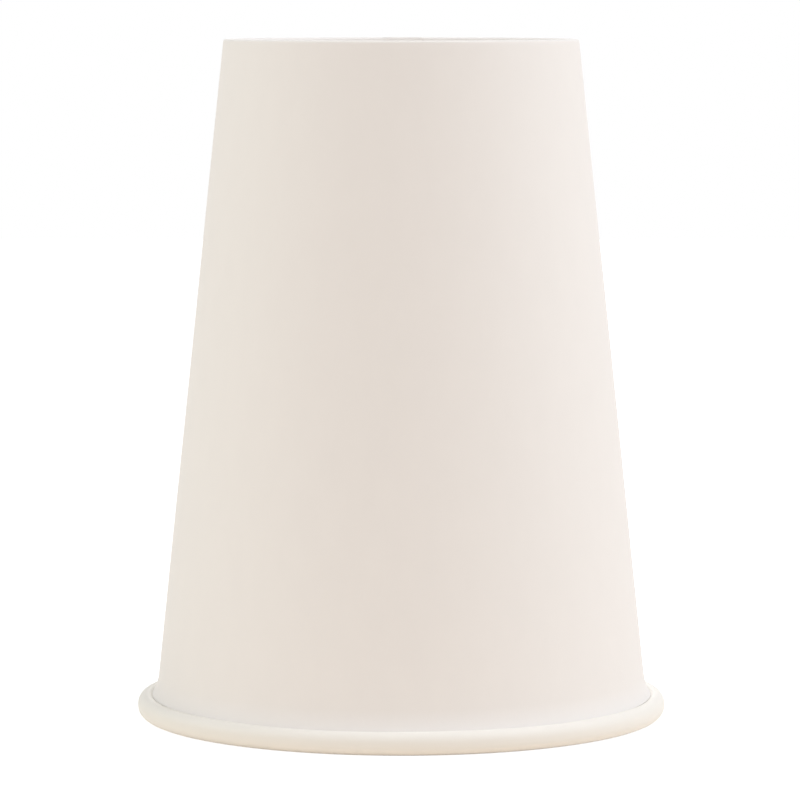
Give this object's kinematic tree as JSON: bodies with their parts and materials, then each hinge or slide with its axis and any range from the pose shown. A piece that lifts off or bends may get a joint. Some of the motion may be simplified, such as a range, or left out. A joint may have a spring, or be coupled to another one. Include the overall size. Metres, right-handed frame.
{
  "type": "disposable coffee cup",
  "caption": "Plain white single-wall paper cup for hot drinks, standing upside down on its rolled rim, with a lapped side seam and a recessed bottom disc.",
  "frame": {"origin": "centre of the circle that the rolled rim stands on, with the cup upside down", "axes": "+Z along the cup's axis, up towards its foot; +Y towards the lapped side seam; -Y is the side that faces the picture"},
  "size_m": [0.09, 0.09, 0.115],
  "materials": {
    "cup_board": "matte",
    "disc_board": "matte"
  },
  "bodies": {
    "root": {"side_wall": "cup_board", "bottom_disc": "disc_board"}
  },
  "joints": []
}
